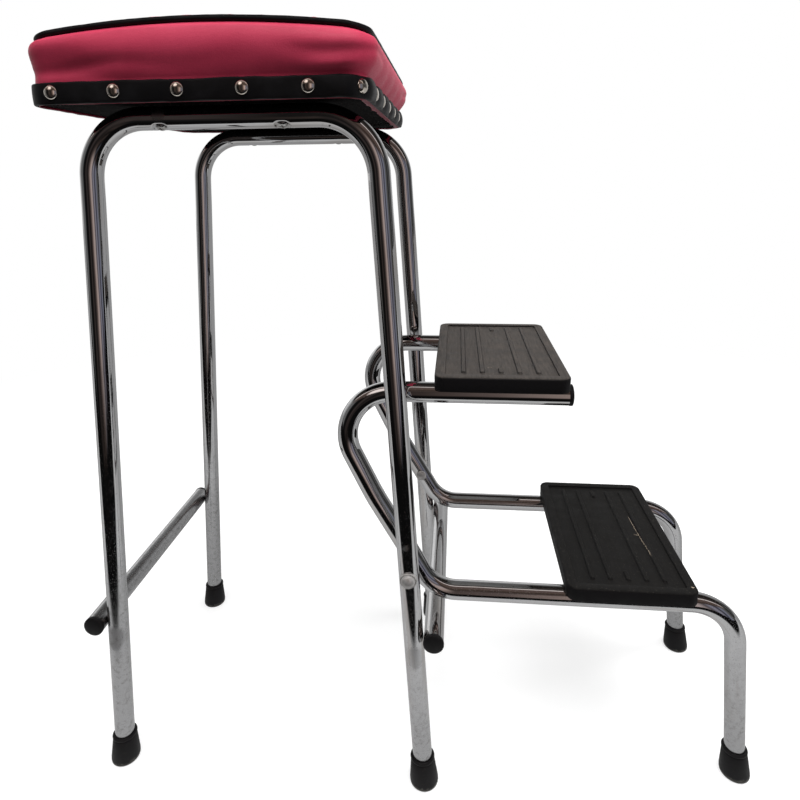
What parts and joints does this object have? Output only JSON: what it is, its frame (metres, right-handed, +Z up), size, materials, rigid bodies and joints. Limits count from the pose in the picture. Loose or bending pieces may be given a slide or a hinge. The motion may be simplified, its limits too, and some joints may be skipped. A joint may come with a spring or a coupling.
{
  "type": "folding step stool",
  "caption": "Tall padded stool on two bent tube arches, with a pair of rubber-topped treads on a tube frame that pivots on the front legs and folds in under the seat.",
  "frame": {"origin": "on the floor under the middle of the stool's whole depth and width with the steps swung out", "axes": "+X towards the steps, +Y to the sitter's left, +Z up"},
  "size_m": [0.6592, 0.3022, 0.7314],
  "materials": {
    "chrome_tube": "bright chrome plate, lightly worn near the floor",
    "bright_steel": "dull bright plated steel",
    "nail_nickel": "polished warm nickel plate",
    "pan_steel": "plain pressed steel",
    "black_rubber": "matt black moulded rubber, grey where it scuffs the floor",
    "tread_rubber": "matt dark rubber with fine scratches",
    "red_vinyl": "soft crimson sheet vinyl with fine grain",
    "black_vinyl": "satin black sheet vinyl",
    "chipboard": "black painted chipboard",
    "foam": "upholstery foam, hidden"
  },
  "bodies": {
    "frame": {"left_side_frame": "chrome_tube", "left_front_foot": "black_rubber", "left_rear_foot": "black_rubber", "right_side_frame": "chrome_tube", "right_front_foot": "black_rubber", "right_rear_foot": "black_rubber", "front_cross_tube": "chrome_tube", "front_cross_tube_plug_left": "black_rubber", "front_cross_tube_plug_right": "black_rubber", "rear_cross_tube": "chrome_tube", "rear_cross_tube_plug_left": "black_rubber", "rear_cross_tube_plug_right": "black_rubber", "seat_board": "chipboard", "seat_foam": "foam", "seat_cover": "red_vinyl", "seat_piping": "black_vinyl", "seat_band": "black_vinyl", "dome_nail_01": "nail_nickel", "dome_nail_02": "nail_nickel", "dome_nail_03": "nail_nickel", "dome_nail_04": "nail_nickel", "dome_nail_05": "nail_nickel", "dome_nail_06": "nail_nickel", "dome_nail_07": "nail_nickel", "dome_nail_08": "nail_nickel", "dome_nail_09": "nail_nickel", "dome_nail_10": "nail_nickel", "dome_nail_11": "nail_nickel", "dome_nail_12": "nail_nickel", "dome_nail_13": "nail_nickel", "dome_nail_14": "nail_nickel", "dome_nail_15": "nail_nickel", "dome_nail_16": "nail_nickel", "dome_nail_17": "nail_nickel", "dome_nail_18": "nail_nickel", "dome_nail_19": "nail_nickel", "dome_nail_20": "nail_nickel", "dome_nail_21": "nail_nickel", "dome_nail_22": "nail_nickel", "seat_screw_left_front": "bright_steel", "seat_screw_left_rear": "bright_steel", "seat_screw_right_front": "bright_steel", "seat_screw_right_rear": "bright_steel", "left_pivot_rivet": "bright_steel", "left_pivot_washer": "bright_steel", "left_pivot_spacer": "bright_steel", "right_pivot_rivet": "bright_steel", "right_pivot_washer": "bright_steel", "right_pivot_spacer": "bright_steel"},
    "steps": {"left_step_tube": "chrome_tube", "left_step_foot": "black_rubber", "left_step_tube_plug": "black_rubber", "right_step_tube": "chrome_tube", "right_step_foot": "black_rubber", "right_step_tube_plug": "black_rubber", "upper_tread_pan": "pan_steel", "upper_tread_mat": "tread_rubber", "lower_tread_pan": "pan_steel", "lower_tread_mat": "tread_rubber"}
  },
  "joints": [
    {"name": "step_fold", "type": "hinge", "parent": "frame", "child": "steps", "pos_m": [-0.00958, 0, 0.2314], "axis": [0, -1, 0], "range_deg": [0, 152]}
  ]
}
